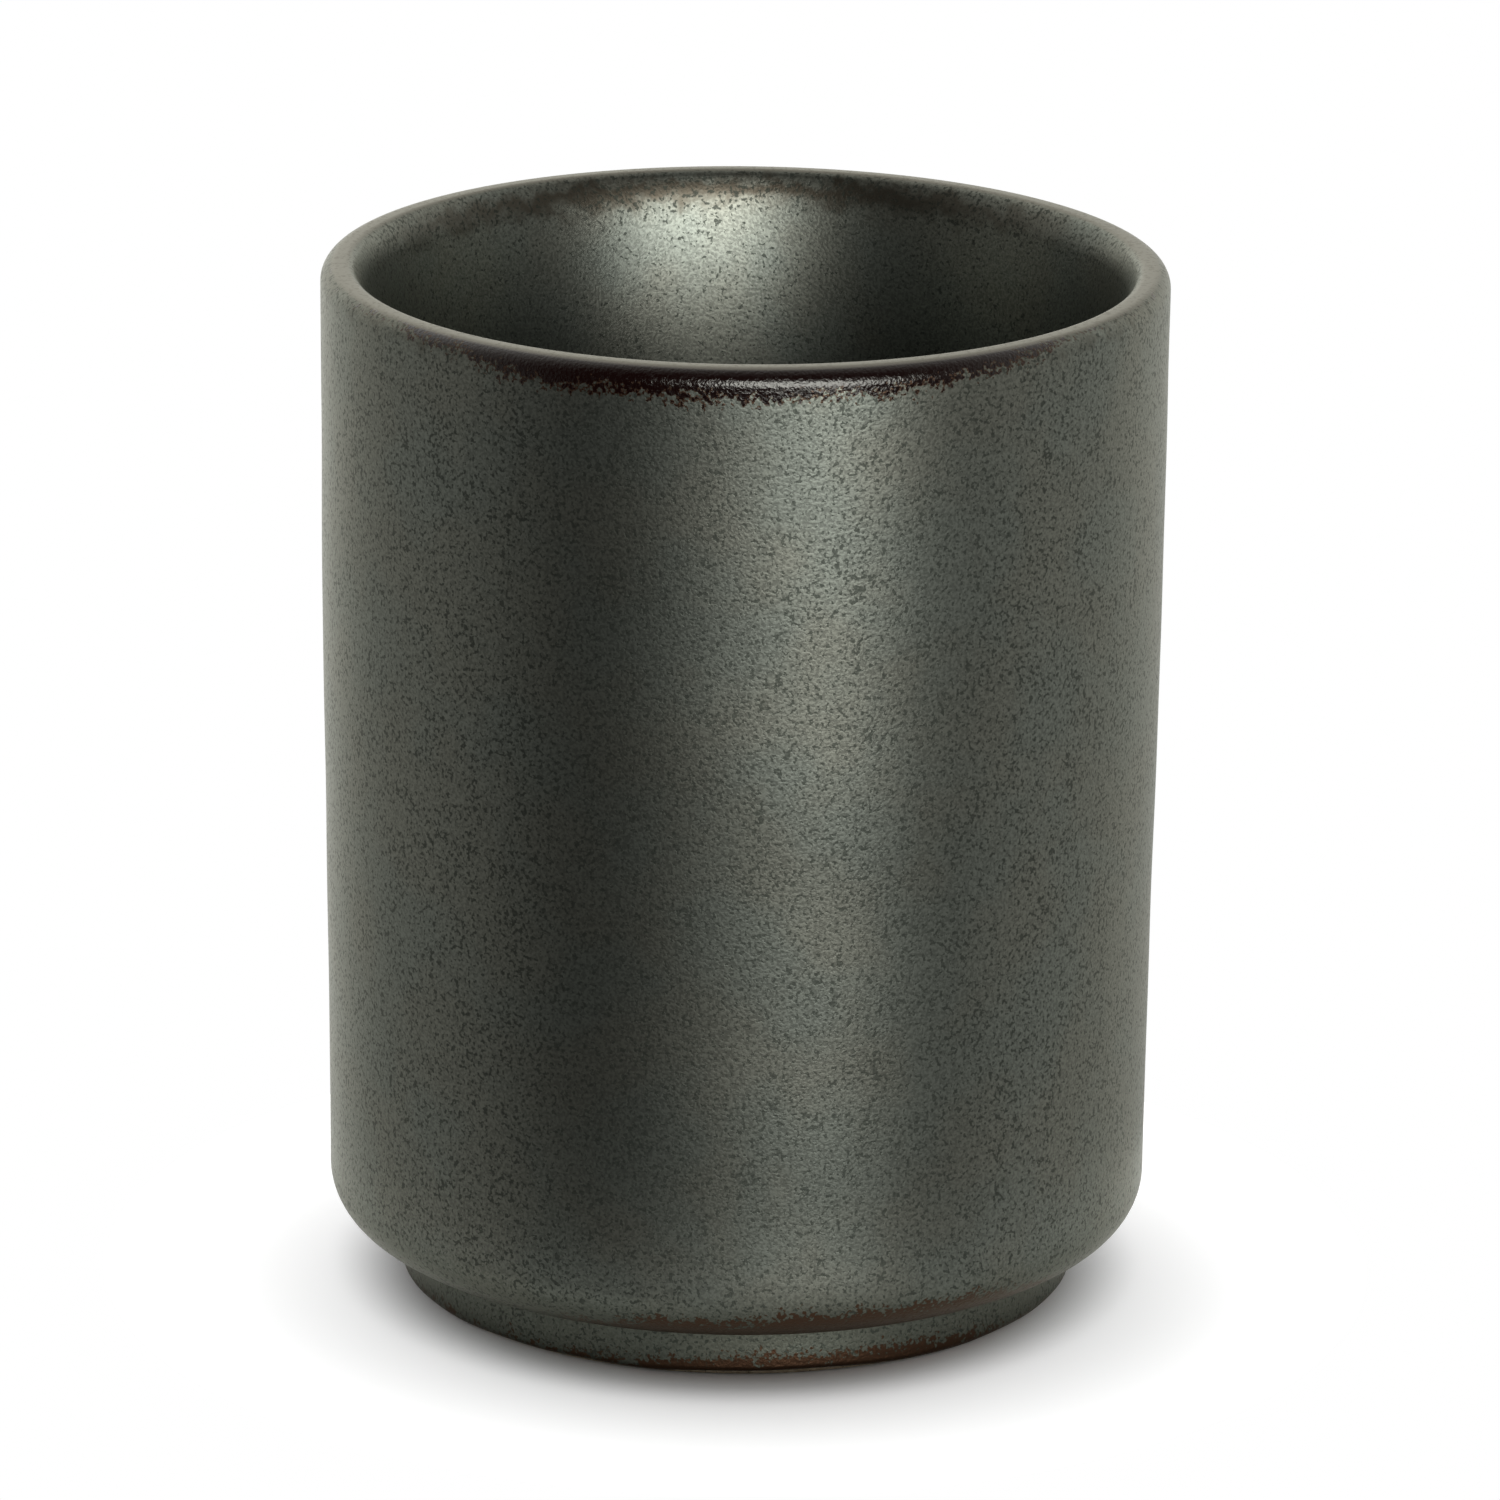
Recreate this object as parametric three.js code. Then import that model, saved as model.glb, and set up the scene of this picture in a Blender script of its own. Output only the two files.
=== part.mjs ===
// A straight-sided stoneware sake cup: one clay body and the glaze coats fused to it.
// Millimetres, +Z up, origin on the table under the middle of the foot ring.

import * as THREE from 'three';

// Outside of the glazed cup
const HEIGHT = 69.8;
const RIM_DIAMETER = 56;
const HEEL_INSET = 0.4;
const HEEL_ROUNDING = 3.4;

// Lip: rolled over outside, flat on its narrow crest, and tightly rounded inside.
// Below the rounding a broad shoulder runs into the flare of the inside wall.
const LIP_ROUNDING = 1.1;
const LIP_ROLL = 1.2;
const LIP_CREST = 0.45;
const LIP_INSIDE_ROUNDING = 0.8;
const SHOULDER_ROUNDING = 5.4;
const SHOULDER_LEAN = 30;
const LIP_BAND = 2.6;
const FLARE_LEAN = 11;

// Wall and floor, glaze included
const HEEL_WALL = 4.6;
const FLOOR_THICKNESS = 4.4;
const WELL_ROUNDING = 8;

// Foot ring, set in from the heel by a narrow ledge
const LEDGE_WIDTH = 0.8;
const FOOT_FILLET = 0.6;
const FOOT_HEIGHT = 3.8;
const FOOT_RING_WIDTH = 3.8;
const FOOT_EDGE_ROUNDING = 0.4;
const RECESS_HEIGHT = 2.4;
const RECESS_ROUNDING = 1.2;

// Glaze, which stops short of the table and leaves a band of bare clay
const GLAZE_THICKNESS = 0.4;
const BARE_BAND = 0.1;

// Fineness of the turned surfaces
const SIDES = 48;
const WALL_STEPS = 10;
const BROAD_STEPS = 6;
const TIGHT_STEPS = 3;

const RIM_RADIUS = RIM_DIAMETER / 2;
const CREST_OUTSIDE = RIM_RADIUS - LIP_ROUNDING;
const CREST_INSIDE = CREST_OUTSIDE - LIP_CREST;
const BAND_HEIGHT = HEIGHT - LIP_BAND;
const HEEL_RADIUS = RIM_RADIUS - HEEL_INSET;
const WELL_RADIUS = HEEL_RADIUS - HEEL_WALL;
const LEDGE_RADIUS = HEEL_RADIUS - HEEL_ROUNDING;
const FOOT_RADIUS = LEDGE_RADIUS - LEDGE_WIDTH - FOOT_FILLET;
const RECESS_RADIUS = FOOT_RADIUS - FOOT_RING_WIDTH;
const FLOOR_HEIGHT = RECESS_HEIGHT + FLOOR_THICKNESS;
const GLAZE_EDGE = FOOT_EDGE_ROUNDING + BARE_BAND;
const RECESS_CORNER = Math.min(RECESS_ROUNDING, RECESS_HEIGHT - GLAZE_EDGE);

function point(radius, height) {
  return new THREE.Vector2(radius, height);
}

// Part of an ellipse about a centre, from one angle to another in degrees.
function bow(centre, across, along, from, to, steps) {
  const points = [];
  for (let step = 0; step <= steps; step += 1) {
    const angle = THREE.MathUtils.degToRad(from + ((to - from) * step) / steps);
    points.push(point(centre.x + across * Math.cos(angle), centre.y + along * Math.sin(angle)));
  }
  return points;
}

// Part of a circle about a centre
function quarter(centre, radius, from, to, steps) {
  return bow(centre, radius, radius, from, to, steps);
}

// Each stretch below follows the cup's section at a depth under the touched surface:
// at depth 0 it is the face of the glaze, at GLAZE_THICKNESS the clay beneath it.

// From the lower edge of the glaze on the foot, across the ledge, round the heel and up the wall
function outsideStretch(depth) {
  const filletCentre = point(FOOT_RADIUS + FOOT_FILLET, FOOT_HEIGHT - FOOT_FILLET);
  const heelCentre = point(LEDGE_RADIUS, FOOT_HEIGHT + HEEL_ROUNDING);
  return [
    point(FOOT_RADIUS - depth, GLAZE_EDGE),
    ...quarter(filletCentre, FOOT_FILLET + depth, 180, 90, TIGHT_STEPS),
    ...quarter(heelCentre, HEEL_ROUNDING - depth, -90, 0, BROAD_STEPS),
    point(RIM_RADIUS - depth, BAND_HEIGHT),
  ];
}

// The rounding inside the lip and the shoulder below it, from the level crest to where the flare begins.
// The two arcs meet where both lean by SHOULDER_LEAN, so their centres lie on one line through that point.
function lipInside(depth) {
  const meeting = 180 - SHOULDER_LEAN;
  const lean = THREE.MathUtils.degToRad(SHOULDER_LEAN);
  const apart = SHOULDER_ROUNDING - LIP_INSIDE_ROUNDING;
  const edgeCentre = point(CREST_INSIDE, HEIGHT - LIP_INSIDE_ROUNDING);
  const shoulderCentre = point(edgeCentre.x + apart * Math.cos(lean), edgeCentre.y - apart * Math.sin(lean));
  const shoulder = quarter(shoulderCentre, SHOULDER_ROUNDING - depth, meeting, 180 - FLARE_LEAN, TIGHT_STEPS);
  return [
    ...quarter(edgeCentre, LIP_INSIDE_ROUNDING - depth, 90, meeting, TIGHT_STEPS),
    ...shoulder.slice(1),
  ];
}

// A point of the inside flare, at a height. The flare widens with the square of the height above its foot,
// so it leans most where the shoulder ends and is upright where the wall below begins.
function flarePoint(depth, height) {
  const top = lipInside(depth).at(-1);
  const widening = top.x - WELL_RADIUS - depth;
  const drop = (2 * widening) / Math.tan(THREE.MathUtils.degToRad(FLARE_LEAN));
  const rise = Math.max(0, 1 - (top.y - height) / drop);
  return point(WELL_RADIUS + depth + widening * rise ** 2, height);
}

// From the wall outside, over the lip and down to the same height inside
function lipStretch(depth) {
  const rollCentre = point(CREST_OUTSIDE, HEIGHT - LIP_ROLL);
  return [
    point(RIM_RADIUS - depth, BAND_HEIGHT),
    ...bow(rollCentre, LIP_ROUNDING - depth, LIP_ROLL - depth, 0, 90, TIGHT_STEPS),
    ...lipInside(depth),
    flarePoint(depth, BAND_HEIGHT),
  ];
}

// From the lip band down the flare and the inside wall, round the well and across the floor to the axis
function insideStretch(depth) {
  const wellCentre = point(WELL_RADIUS - WELL_ROUNDING, FLOOR_HEIGHT + WELL_ROUNDING);
  const points = [];
  for (let step = 0; step < WALL_STEPS; step += 1) {
    points.push(flarePoint(depth, BAND_HEIGHT + ((wellCentre.y - BAND_HEIGHT) * step) / WALL_STEPS));
  }
  return [
    ...points,
    ...quarter(wellCentre, WELL_ROUNDING + depth, 0, -90, BROAD_STEPS),
    point(0, FLOOR_HEIGHT - depth),
  ];
}

// From the axis across the recess under the base and down the inside of the foot ring
function recessStretch(depth) {
  const cornerCentre = point(RECESS_RADIUS - RECESS_CORNER, RECESS_HEIGHT - RECESS_CORNER);
  return [
    point(0, RECESS_HEIGHT + depth),
    ...quarter(cornerCentre, RECESS_CORNER + depth, 90, 0, TIGHT_STEPS),
    point(RECESS_RADIUS + depth, GLAZE_EDGE),
  ];
}

// The bare clay that the cup stands on, from the recess round under to the outside of the foot
function bareFootStretch() {
  const rounding = FOOT_EDGE_ROUNDING;
  const innerCentre = point(RECESS_RADIUS + GLAZE_THICKNESS + rounding, rounding);
  const outerCentre = point(FOOT_RADIUS - GLAZE_THICKNESS - rounding, rounding);
  return [
    ...quarter(innerCentre, rounding, 180, 270, TIGHT_STEPS),
    ...quarter(outerCentre, rounding, 270, 360, TIGHT_STEPS),
  ];
}

// Turns a section about the cup's axis into a solid.
function turned(name, section, material) {
  const geometry = new THREE.LatheGeometry(section, SIDES);
  geometry.rotateX(Math.PI / 2);
  const mesh = new THREE.Mesh(geometry, material);
  mesh.name = name;
  return mesh;
}

// The section of a coat runs along the clay one way and back along the face of the glaze.
// A coat that reaches the axis has an open section there, and any other closes on itself.
function coat(name, stretch, material) {
  const face = stretch(0);
  const clay = stretch(GLAZE_THICKNESS).reverse();
  const section = face.at(-1).x === 0 ? [...clay, ...face] : [...face, ...clay];
  if (section[0].x !== 0) {
    section.push(section[0].clone());
  }
  return turned(name, section, material);
}

const bareClay = new THREE.MeshStandardMaterial({ color: 0xcdbda3, roughness: 0.9, metalness: 0 });
const charcoalGlaze = new THREE.MeshStandardMaterial({ color: 0x4a4d46, roughness: 0.42, metalness: 0.25 });
const brownGlaze = new THREE.MeshStandardMaterial({ color: 0x4b362c, roughness: 0.4, metalness: 0.15 });

const claySection = [
  ...recessStretch(GLAZE_THICKNESS),
  ...bareFootStretch(),
  ...outsideStretch(GLAZE_THICKNESS),
  ...lipStretch(GLAZE_THICKNESS).slice(1),
  ...insideStretch(GLAZE_THICKNESS).slice(1),
];

const sakeCup = new THREE.Group();
sakeCup.add(turned('clay_body', claySection, bareClay));
sakeCup.add(coat('outer_glaze', outsideStretch, charcoalGlaze));
sakeCup.add(coat('lip_glaze', lipStretch, brownGlaze));
sakeCup.add(coat('inner_glaze', insideStretch, charcoalGlaze));
sakeCup.add(coat('base_glaze', recessStretch, charcoalGlaze));

export default sakeCup;
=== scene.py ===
# %% [markdown]
# A stoneware sake cup
#
# This lesson dresses a small straight-sided cup: one body of pale stoneware under a satin charcoal glaze.
# The solid model of the cup is already packed, so the script loads it as a fixed frame and builds finer
# surfaces around it. Everything is in metres, +Z is up, and the cup stands on z = 0.

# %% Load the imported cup
import math

import bmesh
import bpy
import numpy as np
from mathutils import Matrix, Vector


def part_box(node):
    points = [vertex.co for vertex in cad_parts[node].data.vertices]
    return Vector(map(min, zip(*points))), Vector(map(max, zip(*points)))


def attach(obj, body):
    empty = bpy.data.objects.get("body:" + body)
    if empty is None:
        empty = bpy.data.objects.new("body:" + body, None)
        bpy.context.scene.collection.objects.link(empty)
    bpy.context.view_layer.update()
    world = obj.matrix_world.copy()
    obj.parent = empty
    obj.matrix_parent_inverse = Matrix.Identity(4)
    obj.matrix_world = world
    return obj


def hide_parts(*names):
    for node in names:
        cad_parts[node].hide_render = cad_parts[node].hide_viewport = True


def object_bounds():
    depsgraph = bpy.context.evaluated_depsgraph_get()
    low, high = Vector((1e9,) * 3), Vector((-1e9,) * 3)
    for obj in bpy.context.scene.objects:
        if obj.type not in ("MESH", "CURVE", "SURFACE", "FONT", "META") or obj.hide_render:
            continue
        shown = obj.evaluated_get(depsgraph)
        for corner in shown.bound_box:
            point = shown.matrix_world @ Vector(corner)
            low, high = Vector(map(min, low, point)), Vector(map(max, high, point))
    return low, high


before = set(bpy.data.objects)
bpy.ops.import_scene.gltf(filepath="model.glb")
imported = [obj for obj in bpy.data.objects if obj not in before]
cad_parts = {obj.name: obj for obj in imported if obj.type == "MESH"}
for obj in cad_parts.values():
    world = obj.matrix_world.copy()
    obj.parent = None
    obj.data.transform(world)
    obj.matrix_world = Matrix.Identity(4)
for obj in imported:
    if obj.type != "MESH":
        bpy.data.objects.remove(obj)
cad_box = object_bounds()
print("packed nodes:", sorted(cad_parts))

# %% [markdown]
# The camera comes first, because every later choice is judged through it. The picture was taken from
# about 18 degrees above the table with a long lens, a little out of level. A tracking constraint could aim
# the camera, but three directions turned by small angles show plainly which way it points.

# %% Camera
MM = 0.001
CAMERA_DISTANCE = 564 * MM
CAMERA_ELEVATION = math.radians(17.56)
CAMERA_PITCH = math.radians(0.117)
CAMERA_YAW = math.radians(0.063)
CAMERA_ROLL = math.radians(0.596)
CAMERA_LENS = 201.7
SENSOR_WIDTH = 36.0

cup_height = cad_box[1].z
aim = Vector((0, 0, cup_height / 2))


def swing(first, second, angle):
    """Turns two square directions about the third by an angle."""
    c, s = math.cos(angle), math.sin(angle)
    return first * c + second * s, second * c - first * s


forward = Vector((0, math.cos(CAMERA_ELEVATION), -math.sin(CAMERA_ELEVATION)))
right = Vector((1, 0, 0))
up = right.cross(forward)
camera_place = aim - forward * CAMERA_DISTANCE
forward, up = swing(forward, up, CAMERA_PITCH)
forward, right = swing(forward, right, CAMERA_YAW)
right, up = swing(right, up, CAMERA_ROLL)

camera_data = bpy.data.cameras.new("camera")
camera_data.lens = CAMERA_LENS
camera_data.sensor_width = SENSOR_WIDTH
camera = bpy.data.objects.new("camera", camera_data)
turn = Matrix((right, up, -forward)).transposed()
camera.matrix_world = Matrix.Translation(camera_place) @ turn.to_4x4()
bpy.context.scene.collection.objects.link(camera)
bpy.context.scene.camera = camera
print("camera at", [round(c / MM) for c in camera_place], "mm")

# %% [markdown]
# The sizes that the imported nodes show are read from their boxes, so the surfaces made here sit where the
# solids are. The roundings can't be read from a box, so they are named here, in millimetres.

# %% Sizes
HEEL_INSET = 0.4 * MM
HEEL_ROUNDING = 3.4 * MM
HEEL_WALL = 4.6 * MM
LIP_ROUNDING = 1.1 * MM
LIP_ROLL = 1.2 * MM
LIP_CREST = 0.45 * MM
LIP_INSIDE_ROUNDING = 0.8 * MM
SHOULDER_ROUNDING = 5.4 * MM
SHOULDER_LEAN = math.radians(30)
FLARE_LEAN = math.radians(11)
WELL_ROUNDING = 8 * MM
LEDGE_WIDTH = 0.8 * MM
FOOT_FILLET = 0.6 * MM
FOOT_HEIGHT = 3.8 * MM
FOOT_EDGE_ROUNDING = 0.4 * MM
RECESS_ROUNDING = 1.2 * MM

rim_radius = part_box("outer_glaze")[1].x
glaze = rim_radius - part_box("clay_body")[1].x
band_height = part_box("lip_glaze")[0].z
glaze_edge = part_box("outer_glaze")[0].z
floor_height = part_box("inner_glaze")[0].z + glaze
recess_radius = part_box("base_glaze")[1].x - glaze
recess_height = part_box("base_glaze")[1].z - glaze
crest_outside = rim_radius - LIP_ROUNDING
crest_inside = crest_outside - LIP_CREST
heel_radius = rim_radius - HEEL_INSET
well_radius = heel_radius - HEEL_WALL
ledge_radius = heel_radius - HEEL_ROUNDING
foot_radius = ledge_radius - LEDGE_WIDTH - FOOT_FILLET
print("glaze", round(glaze / MM, 2), "mm thick on a cup", round(2 * rim_radius / MM, 1), "mm wide")

# %% [markdown]
# A cup is a turned form, so each surface is one line swept round the axis. The line could be a curve with a
# Screw modifier, but a list of points lets a coat waver from one side of the cup to the other, as a dipped
# glaze does. These helpers lay points along a line.

# %% Arcs and straight runs
ARC_STEPS = 12
WALL_STEP = 1.2 * MM


def bow(radius, height, across, along, start, end):
    """Points of part of an ellipse about (radius, height), from one angle to another in degrees."""
    angles = np.radians(np.linspace(start, end, ARC_STEPS + 1))
    return [(radius + across * math.cos(a), height + along * math.sin(a)) for a in angles]


def joined(*stretches):
    """Stretches one after another, with points a wall step apart on the straight runs between them."""
    line = list(stretches[0])
    for stretch in stretches[1:]:
        start, end = np.array(line[-1]), np.array(stretch[0])
        count = math.ceil(np.linalg.norm(end - start) / WALL_STEP)
        line += [tuple(start + (end - start) * k / count) for k in range(1, count)]
        line += stretch[1:] if count == 0 else stretch
    return line


print("an arc has", ARC_STEPS + 1, "points")

# %% [markdown]
# The section of the cup is cut into the stretches that the coats cover. Each stretch is given at a depth
# under the touched surface: depth 0 is the face of the glaze, and the glaze's thickness is the clay beneath.
# The glaze draws up into a rounded bead where it stops above the table.

# %% Outside of the cup
def outside_line(depth):
    """From the glaze's edge on the foot, across the ledge, round the heel and up to the lip band."""
    fillet = FOOT_FILLET + depth
    heel = HEEL_ROUNDING - depth
    bead = max(glaze - depth, 0)
    glaze_end = (foot_radius - depth, glaze_edge)
    return joined(
        bow(foot_radius - glaze, glaze_edge + bead, bead, bead, -90, 0) if bead else [glaze_end],
        bow(foot_radius + FOOT_FILLET, FOOT_HEIGHT - FOOT_FILLET, fillet, fillet, 180, 90),
        bow(ledge_radius, FOOT_HEIGHT + HEEL_ROUNDING, heel, heel, -90, 0),
        [(rim_radius - depth, band_height)],
    )


def recess_line(depth):
    """From the axis across the recess under the base and down the inside of the foot ring."""
    corner = RECESS_ROUNDING + depth
    return joined(
        [(0, recess_height + depth)],
        bow(recess_radius - RECESS_ROUNDING, recess_height - RECESS_ROUNDING, corner, corner, 90, 0),
        [(recess_radius + depth, glaze_edge)],
    )


def bare_foot_line():
    """The bare clay under the foot ring, from the recess round to the outside."""
    edge = FOOT_EDGE_ROUNDING
    return joined(
        bow(recess_radius + glaze + edge, edge, edge, edge, 180, 270),
        bow(foot_radius - glaze - edge, edge, edge, edge, 270, 360),
    )


print("points from foot to lip outside:", len(outside_line(0)))

# %% [markdown]
# The lip is rolled over outside. Inside, a tight rounding runs into a broad shoulder, and that into a flare.
# The flare widens with the square of the height above its foot, so it leans most under the lip and ends
# upright.

# %% Lip and inside
def lip_inside(depth):
    """The rounding and the shoulder inside the lip, from the level crest to where the flare begins."""
    edge, shoulder = LIP_INSIDE_ROUNDING - depth, SHOULDER_ROUNDING - depth
    meeting, end = (180 - math.degrees(lean) for lean in (SHOULDER_LEAN, FLARE_LEAN))
    apart = SHOULDER_ROUNDING - LIP_INSIDE_ROUNDING
    middle = cup_height - LIP_INSIDE_ROUNDING
    return joined(
        bow(crest_inside, middle, edge, edge, 90, meeting),
        bow(crest_inside + apart * math.cos(SHOULDER_LEAN), middle - apart * math.sin(SHOULDER_LEAN),
            shoulder, shoulder, meeting, end)[1:],
    )


def flare(depth, start, end):
    """The inside flare and the upright wall under it, from one height to another."""
    top_radius, top_height = lip_inside(depth)[-1]
    widening = top_radius - well_radius - depth
    drop = 2 * widening / math.tan(FLARE_LEAN)
    heights = np.linspace(start, end, math.ceil(abs(end - start) / WALL_STEP) + 1)
    rises = np.clip(1 - (top_height - heights) / drop, 0, None)
    return [(well_radius + depth + widening * r * r, h) for r, h in zip(rises, heights)]


def lip_line(depth):
    """From the band outside, over the lip and down to the same height inside."""
    return joined(
        [(rim_radius - depth, band_height)],
        bow(crest_outside, cup_height - LIP_ROLL, LIP_ROUNDING - depth, LIP_ROLL - depth, 0, 90),
        lip_inside(depth),
        flare(depth, lip_inside(depth)[-1][1], band_height),
    )


def inside_line(depth):
    """From the band down the inside wall, round the well and across the floor to the axis."""
    well = WELL_ROUNDING + depth
    return joined(
        flare(depth, band_height, floor_height + WELL_ROUNDING),
        bow(well_radius - WELL_ROUNDING, floor_height + WELL_ROUNDING, well, well, 0, -90),
        [(0, floor_height - depth)],
    )


print("points over the lip:", len(lip_line(0)), "and down the inside:", len(inside_line(0)))

# %% [markdown]
# Throwing leaves faint rings on the wall, a few hundredths of a millimetre deep, and a slight swell above
# the middle. The glaze ends on the foot in an edge that wavers and is highest near the front, where a thread
# of bare clay shows. All of this could be a bump in a material, but it is real shape, so it goes into the
# mesh. The wall leans in below the rim by more than it swells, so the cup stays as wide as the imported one.
# Two collections hold the pieces: all of them, and the glazed ones, which get a lamp of their own later.

# %% Turning a line into a mesh
SIDES = 256
SHARP_ANGLE = math.radians(40)
MERGE_DISTANCE = 1e-7
RING_DEPTH = 0.04 * MM
RING_SPACING = 21 * MM
RING_FADE = 6 * MM
SWELL = 0.115 * MM
SWELL_HEIGHT = 46 * MM
SWELL_REACH = 15 * MM

cup = bpy.data.collections.new("cup")
glazed = bpy.data.collections.new("glazed")
for holder in (cup, glazed):
    bpy.context.scene.collection.children.link(holder)


def throwing_rings(radius, height, azimuth):
    """How far the outside wall dips inwards at each point, less a slight swell above the middle."""
    spiral = 2 * np.pi * height / RING_SPACING + azimuth
    uneven = 0.5 + 0.3 * np.sin(spiral) + 0.2 * np.sin(1.7 * spiral + 2 * np.cos(azimuth))
    low, high = FOOT_HEIGHT + HEEL_ROUNDING, band_height
    fade = np.clip(np.minimum(height - low, high - height) / RING_FADE, 0, 1)
    swell = SWELL * np.exp(-(((height - SWELL_HEIGHT) / SWELL_REACH) ** 2))
    return np.where(radius > crest_inside, (RING_DEPTH * uneven - swell) * fade, 0)


EDGE_WAVER = 0.09 * MM
EDGE_DROP = 0.34 * MM
EDGE_HIGHEST = math.radians(8)
EDGE_REACH = 1.6 * MM
EDGE_WAVES = [(0.5, 3, 1), (0.3, 8, 0), (0.2, 19, 2)]
RAISED_FROM, RAISED_WITHIN = 0.93, 0.06
RAISED_SHARE = 0.5


def glaze_waver(height, azimuth):
    """How far the glaze's lower edge on the foot rises or sinks, fading out up the foot."""
    wave = sum(share * np.sin(count * azimuth + phase) for share, count, phase in EDGE_WAVES)
    fade = np.clip((glaze_edge + EDGE_REACH - height) / EDGE_REACH, 0, 1)
    facing = np.sin(EDGE_HIGHEST) * np.cos(azimuth) - np.cos(EDGE_HIGHEST) * np.sin(azimuth)
    raised = np.clip((facing - RAISED_FROM) / RAISED_WITHIN, 0, 1)
    drop = EDGE_DROP * (1 - RAISED_SHARE * raised)
    return fade * (EDGE_WAVER * wave - drop)


def turned(name, line, closed=False, lift=None):
    """Sweeps a line round the axis. lift raises points by their height and azimuth."""
    radius, height = (np.repeat(np.array(c)[:, None], SIDES, axis=1) for c in zip(*line))
    azimuth = np.linspace(0, 2 * np.pi, SIDES, endpoint=False)
    radius = radius - throwing_rings(radius, height, azimuth)
    if lift is not None:
        height = height + lift(height, azimuth)
    points = np.stack([radius * np.cos(azimuth), radius * np.sin(azimuth), height], axis=-1)
    form = bmesh.new()
    rings = [[form.verts.new(p) for p in ring] for ring in points]
    for low, high in zip(rings, rings[1:] + rings[:1] if closed else rings[1:]):
        for k in range(SIDES):
            n = (k + 1) % SIDES
            form.faces.new((low[k], low[n], high[n], high[k]))
    bmesh.ops.remove_doubles(form, verts=form.verts, dist=MERGE_DISTANCE)
    bmesh.ops.recalc_face_normals(form, faces=form.faces)
    mesh = bpy.data.meshes.new(name)
    form.to_mesh(mesh)
    form.free()
    mesh.shade_smooth()
    mesh.set_sharp_from_angle(angle=SHARP_ANGLE)
    piece = bpy.data.objects.new(name, mesh)
    cup.objects.link(piece)
    return piece


def coat_line(stretch):
    """A coat's section: along the face of the glaze one way, and back along the clay."""
    return stretch(0) + stretch(glaze)[::-1]


print("each ring has", SIDES, "points")

# %% [markdown]
# Materials come next, and they are made of nodes. Wiring Math nodes by hand hides the formula, so a small
# class lets a value that changes over the surface be written in plain sums, and a few helpers place the
# nodes that every finish needs: a soft step, a blend of two colours and a noise of a given grain.

# %% Node helpers
class Field:
    """A number that changes over a surface. Each sum with it becomes a Math node."""

    def __init__(self, socket):
        self.socket = socket
        self.tree = socket.id_data

    def math(self, operation, *others):
        inputs = dict(enumerate((self, *others)))
        return Field(place(self.tree, "ShaderNodeMath", inputs, operation=operation).outputs[0])

    def __add__(self, other):
        return self.math("ADD", other)

    def __sub__(self, other):
        return self.math("SUBTRACT", other)

    def __rsub__(self, other):
        return self.math("MULTIPLY_ADD", -1.0, other)

    def __mul__(self, other):
        return self.math("MULTIPLY", other)


def place(tree, kind, inputs, **settings):
    """Adds a node, sets its properties and fills its inputs with values, fields or other nodes' outputs."""
    node = tree.nodes.new(kind)
    for key, value in settings.items():
        setattr(node, key, value)
    for key, value in inputs.items():
        value = value.socket if isinstance(value, Field) else value
        if isinstance(value, bpy.types.NodeSocket):
            tree.links.new(value, node.inputs[key])
        else:
            node.inputs[key].default_value = value
    return node


def step(value, low, high, start=0.0, end=1.0):
    """A soft step, from start where the value is low to end where it is high."""
    inputs = {"Value": value, "From Min": low, "From Max": high, "To Min": start, "To Max": end}
    node = place(value.tree, "ShaderNodeMapRange", inputs, interpolation_type="SMOOTHSTEP")
    return Field(node.outputs["Result"])


def blended(share, first, second):
    """A colour between two others."""
    return place(share.tree, "ShaderNodeMix", {0: share, 6: first, 7: second}, data_type="RGBA").outputs[2]


def grain(where, size, detail=2.0):
    """Noise from 0 to 1 whose patches are about one size across."""
    inputs = {"Vector": where, "Scale": 1 / size, "Detail": detail}
    return Field(place(where.id_data, "ShaderNodeTexNoise", inputs).outputs["Fac"])


def group(name, inputs, outputs):
    """An empty node group with float inputs and outputs, and its two end nodes."""
    tree = bpy.data.node_groups.new(name, "ShaderNodeTree")
    for label, value in inputs.items():
        tree.interface.new_socket(label, in_out="INPUT", socket_type="NodeSocketFloat").default_value = value
    for label in outputs:
        tree.interface.new_socket(label, in_out="OUTPUT", socket_type="NodeSocketFloat")
    given = {s.name: Field(s) for s in tree.nodes.new("NodeGroupInput").outputs if s.name}
    return tree, given, tree.nodes.new("NodeGroupOutput").inputs


def connect(field, socket):
    """Links a field to a socket."""
    field.tree.links.new(field.socket, socket)


print("helpers ready: place, step, blended, grain, group, connect")

# %% [markdown]
# The glaze is full of fine dark flecks, where iron crystals break the surface. They could be dots in the
# cells of a Voronoi texture, but real flecks are crooked and touch each other, so they are the peaks of a
# noise.
# A slower noise crowds them together in some places and thins them out in others.

# %% Flecks
FLECK_SIZE = 0.28 * MM
FLECK_PATCH = 2.6 * MM
PATCHINESS = 0.14
FLECK_PEAK = (0.545, 0.615)

flecks, given, result = group("iron_flecks", {"Size": FLECK_SIZE, "Crowding": 0.0}, ["Mask"])
where = flecks.nodes.new("ShaderNodeTexCoord").outputs["Object"]
fineness = given["Size"].math("POWER", -1.0)
fine = place(flecks, "ShaderNodeTexNoise", {"Vector": where, "Scale": fineness, "Detail": 2.5})
peak = Field(fine.outputs["Fac"]) + (grain(where, FLECK_PATCH, 1) - 0.5) * PATCHINESS + given["Crowding"]
connect(step(peak, *FLECK_PEAK), result["Mask"])
print("group:", flecks.name)

# %% [markdown]
# Between the flecks the satin surface is a felt of tiny crystals that catch the light one by one, and it
# drifts between a cool and a warm grey over a few millimetres. One group gives both: a fine sparkle and a
# slow cloud.

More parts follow.
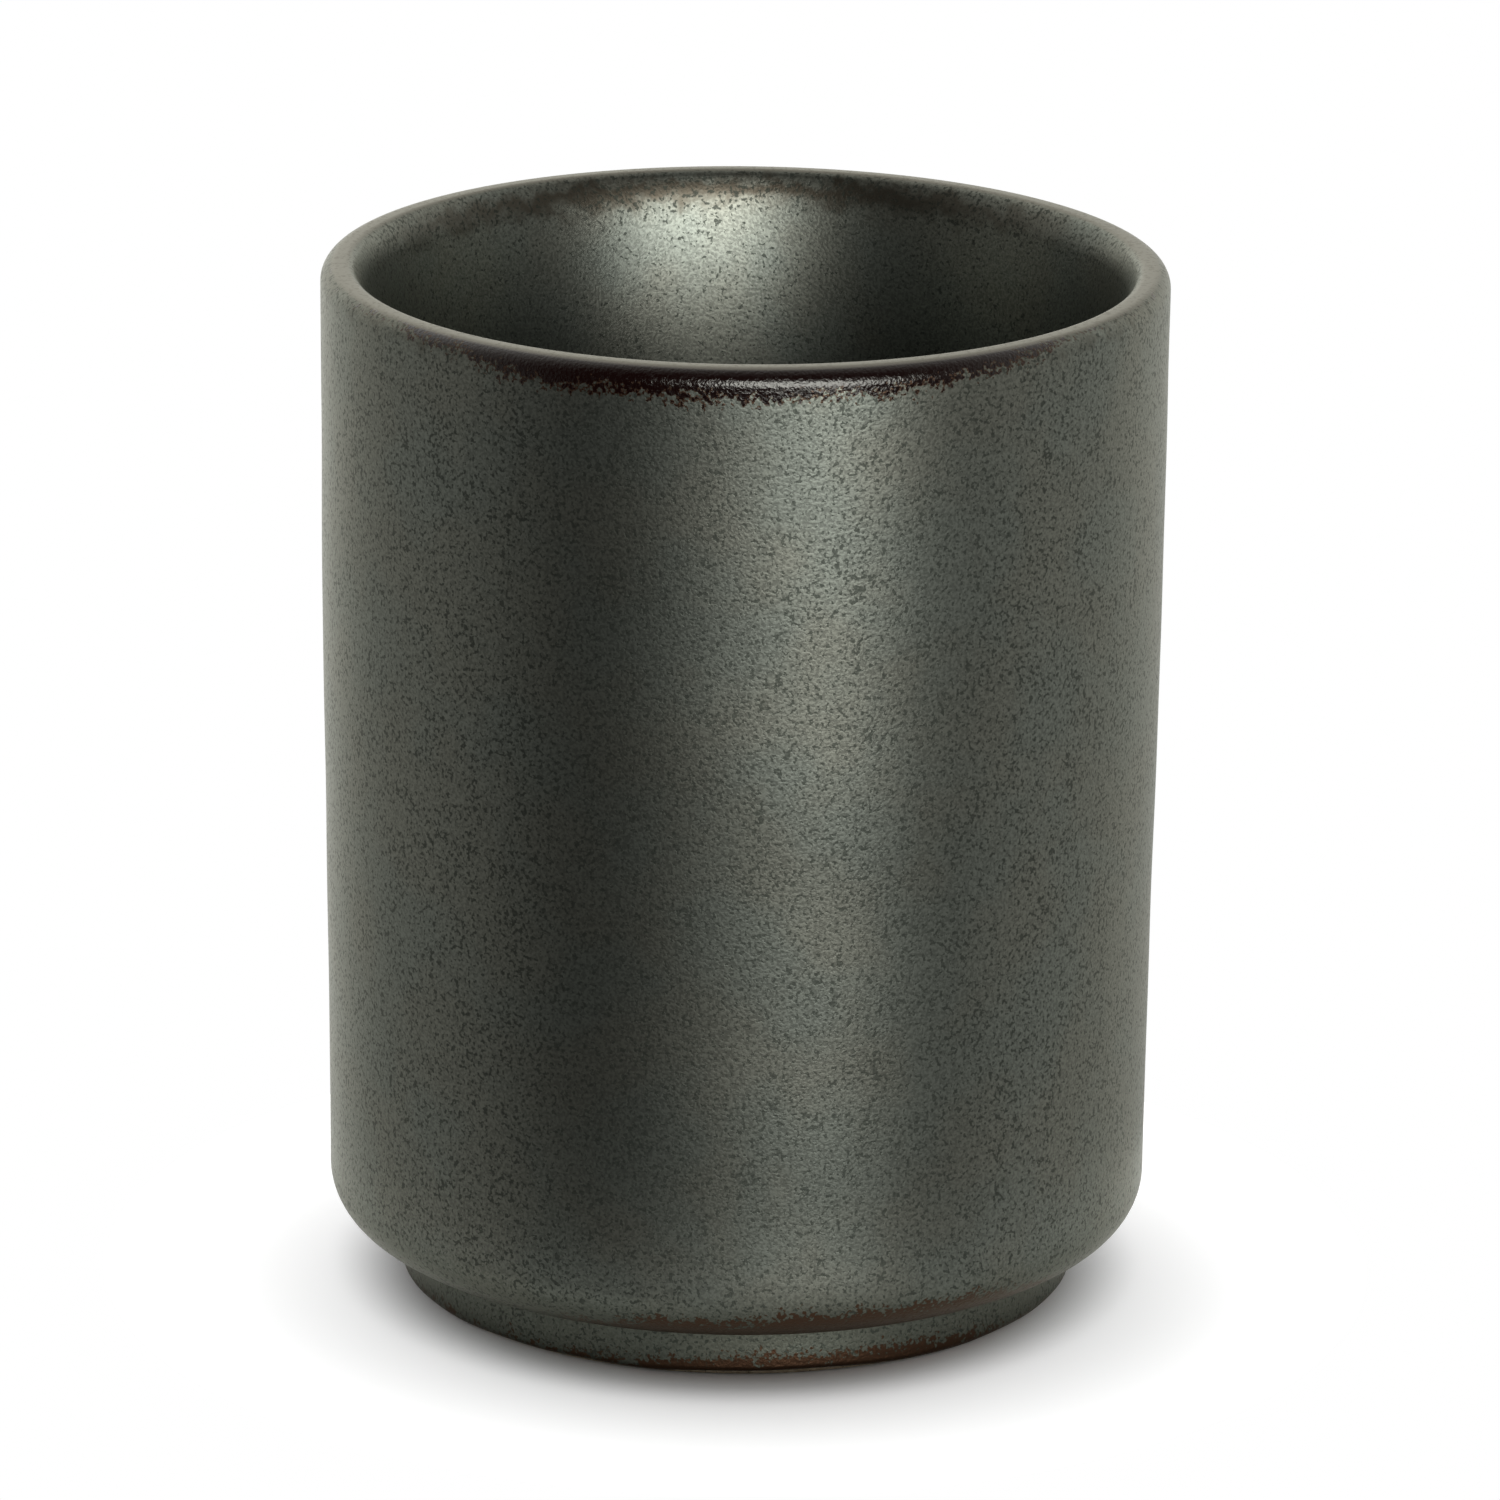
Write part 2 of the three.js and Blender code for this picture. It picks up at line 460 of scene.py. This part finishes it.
# %% Crystals and clouds
crystals, given, result = group("crystals", {"Crystal": 0.2 * MM, "Cloud": 7 * MM}, ["Sparkle", "Warmth"])
where = crystals.nodes.new("ShaderNodeTexCoord").outputs["Object"]
kinds = [("Sparkle", "Crystal", 1.5, 0.3, 0.7), ("Warmth", "Cloud", 2.0, 0.36, 0.64)]
for label, size, detail, low, high in kinds:
    fineness = given[size].math("POWER", -1.0)
    noise = place(crystals, "ShaderNodeTexNoise", {"Vector": where, "Scale": fineness, "Detail": detail})
    connect(step(Field(noise.outputs["Fac"]), low, high), result[label])
print("group:", crystals.name)

# %% [markdown]
# On edges the molten glaze runs thin and breaks to iron brown: under the crest of the lip, along the lower
# side of the heel and at the bottom of the foot. Edge wear is often found by pointiness, but that needs a
# dense mesh and finds every edge alike. The edges here are known heights, so the group measures how many
# millimetres each point lies past the nearest of them, and noise at three sizes makes the line ragged. The
# cup was dipped by hand, so each break is widest on one side. The same group says where the glaze is thin
# but not broken along the lip, and where the cup is darker from the foot up round the heel, partly from thin
# glaze and partly as painted shade. It also paints a pale line under the heel, a painted reflection of the
# white paper on that edge.

# %% Iron breaks
# How far each break reaches past its edge in mm, everywhere and further on its widest side.
LIP_REACH = (-0.4, 2.2)
HEEL_REACH = (-0.2, 2.3)
FOOT_REACH = (0.45, 0.95)
# The azimuth of each widest side, and how narrow that side is.
LIP_WIDEST = (math.radians(-2), 0.5)
LINER_WIDEST = (math.radians(186), 0.1)
HEEL_WIDEST = (math.radians(16), 0.62)
FOOT_WIDEST = (math.radians(12), 0.72)
# The grain, the detail and the reach in mm of each noise that makes the breaks ragged.
STRAYS = [(5 * MM, 1, 1.3), (1.1 * MM, 2, 1.6), (0.3 * MM, 2, 3.2)]
LOW_BREAK = 0.5
FAR_OFF = 9
HEEL_LOWEST = foot_radius + FOOT_FILLET

BREAK_OUTPUTS = ["Past", "Crest", "Thin And Shade", "Heel Glint"]
breaks, given, result = group("iron_breaks", {"Ragged": 1.0, "Soft": 0.22}, BREAK_OUTPUTS)
where = breaks.nodes.new("ShaderNodeTexCoord").outputs["Object"]
x, y, z = (Field(s) * (1 / MM) for s in place(breaks, "ShaderNodeSeparateXYZ", {"Vector": where}).outputs)
out = (x * x + y * y).math("SQRT")


def widest(azimuth, sharpness):
    """1 on the side of the cup that faces an azimuth, falling to 0 round the rest. 0 is the front."""
    facing = (x * math.sin(azimuth) - y * math.cos(azimuth)).math("DIVIDE", out)
    return step(facing, sharpness, 1)


coarse, middling, small = ((grain(where, size, detail) - 0.5) * reach for size, detail, reach in STRAYS)
stray = (coarse + middling + small) * given["Ragged"]
under_crest = cup_height / MM - z
inside = step(out, crest_inside / MM - 0.2, crest_outside / MM, 1, 0)
lip = widest(*LIP_WIDEST) * LIP_REACH[1] + LIP_REACH[0] - under_crest - inside * FAR_OFF
heel = widest(*HEEL_WIDEST) * HEEL_REACH[1] + HEEL_REACH[0] + FOOT_HEIGHT / MM - z
heel = heel - step(out, HEEL_LOWEST / MM, HEEL_LOWEST / MM + 0.3, FAR_OFF, 0)
foot = widest(*FOOT_WIDEST) * FOOT_REACH[1] + FOOT_REACH[0] - z
low_break = step(heel.math("MAXIMUM", foot) + stray, given["Soft"] * -1, given["Soft"]) * LOW_BREAK
lip_break = step(lip + stray, given["Soft"] * -1, given["Soft"])
connect(lip_break.math("MAXIMUM", low_break), result["Past"])
connect(step(under_crest, 0.0, 0.17, 1, 0), result["Crest"])
ragged_depth = under_crest + (grain(where, 1.4 * MM, 4) - 0.5) * 3
liner_break = step(ragged_depth, 0.2, 1.1, 0.3, 1) * step(ragged_depth, 1.2, 2.9, 1, 0)
liner_break = liner_break * widest(*LINER_WIDEST)
thin_lip = (1 - inside) * step(ragged_depth, 0.2, 1.5, 0.5, 0) + inside * liner_break
above_foot = z - FOOT_HEIGHT / MM
# Darker from the foot up round the heel: partly thin glaze, partly painted shade.
thin_and_shaded_heel = step(above_foot, 0, 5, 0.9, 0) * step(above_foot, -0.6, 0, 0.6, 1)
connect(thin_lip + thin_and_shaded_heel, result["Thin And Shade"])
# A pale line painted under the heel's lower edge: a painted reflection of the white paper.
heel_glint = step((above_foot - 0.13).math("ABSOLUTE"), 0.05, 0.13, 1, 0)
heel_glint = heel_glint * step(out, HEEL_LOWEST / MM, HEEL_LOWEST / MM + 0.3)
connect(heel_glint * step(grain(where, 9 * MM, 1), 0.42, 0.58), result["Heel Glint"])
print("group:", breaks.name)

# %% [markdown]
# The glaze itself is a satin gunmetal: a felt of mirror-like crystals, so it is metallic. Low on the cup it
# breaks to a satin red-brown, and at the lip further on to plain glass over iron, smooth and almost black.
# One function makes all three glazes from the same groups, so they meet on the cup without a seam.

# %% Glaze material
COOL_GREY = (0.098, 0.106, 0.090, 1)
WARM_GREY = (0.101, 0.104, 0.086, 1)
FLECK_DARK = (0.018, 0.021, 0.017, 1)
THIN_BROWN = (0.040, 0.035, 0.026, 1)
# The olive of thin glaze near the foot, made darker as painted shade.
SHADED_THIN_OLIVE = (0.038, 0.042, 0.031, 1)
RED_BROWN = (0.04, 0.022, 0.013, 1)
IRON_BLACK = (0.0024, 0.0004, 0.0003, 1)
TAUPE = (0.106, 0.098, 0.08, 1)
GLAZE_METALLIC = 1.0
GLAZE_ROUGHNESS = 0.39
GLASS_ROUGHNESS = 0.2
OLIVE_EDGE = (1.0, 1.0, 0.92, 1)
GLASS_GLOSS = 0.28
FLECK_SHARE = 0.72
FLECK_ROUGHER = 0.08
GLAZE_BUMP = (0.2, 0.02 * MM)


def glaze_material(name, thin_color, crowding=0.0):
    """The satin glaze with its flecks, clouds and iron breaks, and the painted shade and painted reflection
    at the heel.
    """
    material = bpy.data.materials.new(name)
    material.use_nodes = True
    tree = material.node_tree
    shader = tree.nodes["Principled BSDF"]
    shader.inputs["Specular IOR Level"].default_value = GLASS_GLOSS
    shader.inputs["Specular Tint"].default_value = OLIVE_EDGE
    fleck = Field(place(tree, "ShaderNodeGroup", {}, node_tree=flecks).outputs["Mask"])
    fleck.socket.node.inputs["Crowding"].default_value = crowding
    crystal = place(tree, "ShaderNodeGroup", {}, node_tree=crystals).outputs
    sparkle, warmth = Field(crystal["Sparkle"]), Field(crystal["Warmth"])
    iron = place(tree, "ShaderNodeGroup", {}, node_tree=breaks).outputs
    past, crest, thin_and_shade, line = (Field(iron[label]) for label in BREAK_OUTPUTS)

    grey = blended(warmth, COOL_GREY, WARM_GREY)
    light = step(sparkle, 0, 1, 0.8, 1.2).socket
    multiply = {"data_type": "RGBA", "blend_type": "MULTIPLY"}
    grey = place(tree, "ShaderNodeMix", {0: 1.0, 6: grey, 7: light}, **multiply).outputs[2]
    # Near the heel the thin colour also carries painted shade.
    grey = blended(fleck * FLECK_SHARE, blended(thin_and_shade, grey, thin_color), FLECK_DARK)
    edge = place(tree, "ShaderNodeValToRGB", {"Fac": past})
    stops = edge.color_ramp.elements
    stops[0].position, stops[0].color = 0.0, thin_color
    stops[1].position, stops[1].color = 1.0, IRON_BLACK
    middle = stops.new(0.5)
    middle.color = RED_BROWN
    color = blended(step(past, 0.0, 0.3), grey, edge.outputs["Color"])
    # Taupe on the crest of the lip, and along the heel a pale line that is a painted reflection of the paper.
    pale_crest_and_glint = crest.math("MAXIMUM", line)
    color = blended(pale_crest_and_glint, color, TAUPE)
    tree.links.new(color, shader.inputs["Base Color"])

    metal = step(past, 0.5, 0.9, GLAZE_METALLIC, 0)
    connect(metal + (GLAZE_METALLIC - metal) * pale_crest_and_glint, shader.inputs["Metallic"])
    satin = fleck * FLECK_ROUGHER + GLAZE_ROUGHNESS
    smooth = step(past, 0.55, 1.0)
    connect(satin - smooth * (GLAZE_ROUGHNESS - GLASS_ROUGHNESS) * (1 - pale_crest_and_glint), shader.inputs["Roughness"])
    relief = (sparkle - fleck * 0.6) * step(past, 0.2, 0.9, 1, 3) * step(pale_crest_and_glint, 0, 1, 1, 0.2)
    strength, depth = GLAZE_BUMP
    normal = place(tree, "ShaderNodeBump", {"Strength": strength, "Distance": depth, "Height": relief})
    tree.links.new(normal.outputs["Normal"], shader.inputs["Normal"])
    return material


charcoal = glaze_material("charcoal_glaze", SHADED_THIN_OLIVE)
brown = glaze_material("brown_glaze", THIN_BROWN)
liner = glaze_material("liner_glaze", THIN_BROWN, crowding=-0.045)
print("glazes:", charcoal.name, brown.name, liner.name)

# %% [markdown]
# The bare clay shows only as a thin cream line under the glaze and as the ring the cup stands on. It is a
# gritty, matt stoneware, so it gets a sandy colour, a few dark iron flecks from the same group, and a
# fine bump.

# %% Bare clay
SAND_DARK = (0.46, 0.37, 0.25, 1)
SAND_LIGHT = (0.68, 0.59, 0.44, 1)
CLAY_FLECK = (0.16, 0.10, 0.06, 1)

clay = bpy.data.materials.new("bare_clay")
clay.use_nodes = True
tree = clay.node_tree
where = tree.nodes.new("ShaderNodeTexCoord").outputs["Object"]
sand = grain(where, 0.4 * MM, 3)
fleck = Field(place(tree, "ShaderNodeGroup", {"Crowding": -0.1}, node_tree=flecks).outputs["Mask"])
color = blended(fleck * 0.7, blended(step(sand, 0.3, 0.7), SAND_DARK, SAND_LIGHT), CLAY_FLECK)
shader = tree.nodes["Principled BSDF"]
tree.links.new(color, shader.inputs["Base Color"])
connect(step(sand, 0.3, 0.7, 0.95, 0.8), shader.inputs["Roughness"])
normal = place(tree, "ShaderNodeBump", {"Strength": 0.6, "Distance": 0.05 * MM, "Height": sand})
tree.links.new(normal.outputs["Normal"], shader.inputs["Normal"])
print("material:", clay.name)

# %% [markdown]
# Now the five pieces are turned. Each one stands for an imported node, so it replaces that node, rides on the
# cup's only body and gets its own material.

# %% Pieces
clay_line = (recess_line(glaze) + bare_foot_line() + outside_line(glaze) + lip_line(glaze)[1:]
             + inside_line(glaze)[1:])


def dress(piece, material, node):
    """Gives a piece its finish and its place in the cup."""
    piece.data.materials.append(material)
    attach(piece, "root")
    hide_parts(node)
    if material != clay:
        glazed.objects.link(piece)
    print(piece.name, "has", len(piece.data.polygons), "faces")


outside_coat = turned("outside_coat", coat_line(outside_line), closed=True, lift=glaze_waver)
dress(turned("clay_cup", clay_line), clay, "clay_body")
dress(outside_coat, charcoal, "outer_glaze")
dress(turned("lip_coat", coat_line(lip_line), closed=True), brown, "lip_glaze")
dress(turned("inside_coat", coat_line(inside_line)), liner, "inner_glaze")
dress(turned("recess_coat", coat_line(recess_line)), charcoal, "base_glaze")

# %% [markdown]
# The cup stands on a small round sheet of white paper that is just large enough to hold its shadow. On a wide
# white floor its dark wall would mirror white from every side. The paper gets a little glow of its own for
# rays from the camera and for mirrored rays, none at the foot and most at its edge, so it meets the white
# background without a line. This glow is painted light: rising outwards from the foot, it also lightens the
# cup's shadow and sets how softly it fades. It is open under the foot and can't be seen from below, so that
# the base can be looked at, and it lies a hair below the cup so that two flat faces never share one place.

# %% Paper
PAPER_RADIUS = 43 * MM
PAPER_OPENING = 21.6 * MM
PAPER_SIDES = 128
PAPER_WHITE = (0.88, 0.88, 0.88, 1)
PAPER_DEPTH = 0.02 * MM
NEAR_GLOW = (21 * MM, 28 * MM, 0, 0.28)
FAR_GLOW = (28 * MM, PAPER_RADIUS, 0, 0.18)

turns = [2 * math.pi * k / PAPER_SIDES for k in range(PAPER_SIDES)]
sheet_mesh = bpy.data.meshes.new("paper")
radii = (PAPER_OPENING, PAPER_RADIUS)
points = [(r * math.cos(a), r * math.sin(a), -PAPER_DEPTH) for a in turns for r in radii]
corners = np.array((0, 1, 3, 2))
faces = [tuple((corners + 2 * k) % len(points)) for k in range(PAPER_SIDES)]
sheet_mesh.from_pydata(points, [], faces)
sheet = bpy.data.objects.new("paper", sheet_mesh)
bpy.context.scene.collection.objects.link(sheet)


def background_rays(tree):
    """1 for rays that come straight from the camera, and 1 for rays mirrored or bent by a piece."""
    path = tree.nodes.new("ShaderNodeLightPath").outputs
    bounced = Field(path["Is Glossy Ray"]).math("MAXIMUM", path["Is Transmission Ray"])
    return Field(path["Is Camera Ray"]), bounced


paper = bpy.data.materials.new("white_paper")
paper.use_nodes = True
shader = paper.node_tree.nodes["Principled BSDF"]
shader.inputs["Base Color"].default_value = PAPER_WHITE
shader.inputs["Roughness"].default_value = 1
shader.inputs["Specular IOR Level"].default_value = 0
shader.inputs["Emission Color"].default_value = (1, 1, 1, 1)
straight, mirrored = background_rays(paper.node_tree)
spot = place(paper.node_tree, "ShaderNodeVectorMath", {}, operation="LENGTH")
where = paper.node_tree.nodes.new("ShaderNodeTexCoord").outputs["Object"]
paper.node_tree.links.new(where, spot.inputs[0])
from_axis = Field(spot.outputs["Value"])
# Painted light: the glow rises outwards from the foot and lightens the cup's shadow.
soft_glow = step(from_axis, *NEAR_GLOW) + step(from_axis, *FAR_GLOW)
connect(straight.math("MAXIMUM", mirrored) * soft_glow, shader.inputs["Emission Strength"])
below = Field(paper.node_tree.nodes.new("ShaderNodeNewGeometry").outputs["Backfacing"])
connect(1 - below, shader.inputs["Alpha"])
sheet_mesh.materials.append(paper)
print("paper", round(2 * PAPER_RADIUS / MM), "mm across")

# %% [markdown]
# The room is a dark studio with a white backdrop behind the cup. It has a broad, soft panel low on each side,
# a fainter one high on each side, and one overhead. They could be area lamps, but painted into the world they
# have no hard edges, and the glaze mirrors them as slow gradients. The camera sees white in every direction,
# so the cup can be looked at from all sides.

# %% Room
PANELS = [
    {"azimuth": -126, "elevation": 0, "spread": 62, "radiance": 0.68},
    {"azimuth": 106, "elevation": 0, "spread": 43, "radiance": 0.86},
    {"azimuth": 0, "elevation": 88, "spread": 26, "radiance": 0.3},
    {"azimuth": -100, "elevation": 48, "spread": 30, "radiance": 0.35},
    {"azimuth": 100, "elevation": 48, "spread": 30, "radiance": 0.35},
]
BACKDROP = {"azimuth": 180, "elevation": 30, "spread": 56}
PANEL_FADE = (1.4, 0.4)
DIM = 0.02


def toward(azimuth, elevation):
    """A direction from the cup. Azimuth 0 is the camera's side, and positive is to its right."""
    a, e = math.radians(azimuth), math.radians(elevation)
    return Vector((math.sin(a) * math.cos(e), -math.cos(a) * math.cos(e), math.sin(e)))


world = bpy.data.worlds.new("studio")
bpy.context.scene.world = world
world.use_nodes = True
tree = world.node_tree
looking = tree.nodes.new("ShaderNodeTexCoord").outputs["Generated"]


def panel(azimuth, elevation, spread, radiance=1.0):
    """A round patch of light in the room that fades out about its spread in degrees."""
    inputs = {0: looking, 1: toward(azimuth, elevation)}
    facing = Field(place(tree, "ShaderNodeVectorMath", inputs, operation="DOT_PRODUCT").outputs["Value"])
    far, near = (math.cos(math.radians(share * spread)) for share in PANEL_FADE)
    return step(facing, far, near, 0, radiance)


glow = DIM
for place_and_size in PANELS:
    glow = panel(**place_and_size) + glow
straight, mirrored = background_rays(tree)
strength = (glow + mirrored * panel(**BACKDROP)).math("MAXIMUM", straight)
connect(strength, tree.nodes["Background"].inputs["Strength"])
tree.nodes["Background"].inputs["Color"].default_value = (1, 1, 1, 1)
print("panels:", len(PANELS))

# %% [markdown]
# One large softbox leans over to the left in front of the cup. Its mirror image is the bright stripe down the
# wall and the glow inside the far lip. It lights only the glaze, so the paper and the clay stay even. A broad
# lamp overhead, a little behind the cup, lights the paper and draws the soft shadow towards the camera. It is
# hidden from the glaze's reflections.

# %% Lamps
SOFTBOX = {"azimuth": 15.3, "elevation": 12.1, "lean": 64.4, "distance": 0.8}
SOFTBOX_SIZE = (0.362, 0.595)
SOFTBOX_RADIANCE = 18
OVERHEAD_SPREAD = math.radians(100)
OVERHEAD_POWER = 2.5
OVERHEAD = {"azimuth": 180, "elevation": 67, "distance": 1}


def hung(name, lamp, azimuth, elevation, distance, lean=0):
    """Hangs a lamp so that it faces the cup, leaning by an angle in degrees."""
    away = toward(azimuth, elevation)
    holder = bpy.data.objects.new(name, lamp)
    turn = away.to_track_quat("Z", "Y").to_matrix().to_4x4() @ Matrix.Rotation(math.radians(lean), 4, "Z")
    holder.matrix_world = Matrix.Translation(aim + away * distance) @ turn
    bpy.context.scene.collection.objects.link(holder)
    return holder


softbox = bpy.data.lights.new("softbox", "AREA")
softbox.shape = "RECTANGLE"
softbox.size, softbox.size_y = SOFTBOX_SIZE
softbox.energy = SOFTBOX_RADIANCE * math.pi * softbox.size * softbox.size_y
key = hung("softbox", softbox, **SOFTBOX)
key.visible_camera = False
key.light_linking.receiver_collection = glazed

overhead = bpy.data.lights.new("overhead", "SUN")
overhead.angle = OVERHEAD_SPREAD
overhead.energy = OVERHEAD_POWER
hung("overhead", overhead, **OVERHEAD).visible_glossy = False
bpy.context.scene.view_settings.view_transform = "Standard"
print("softbox gives", round(softbox.energy, 1), "W")
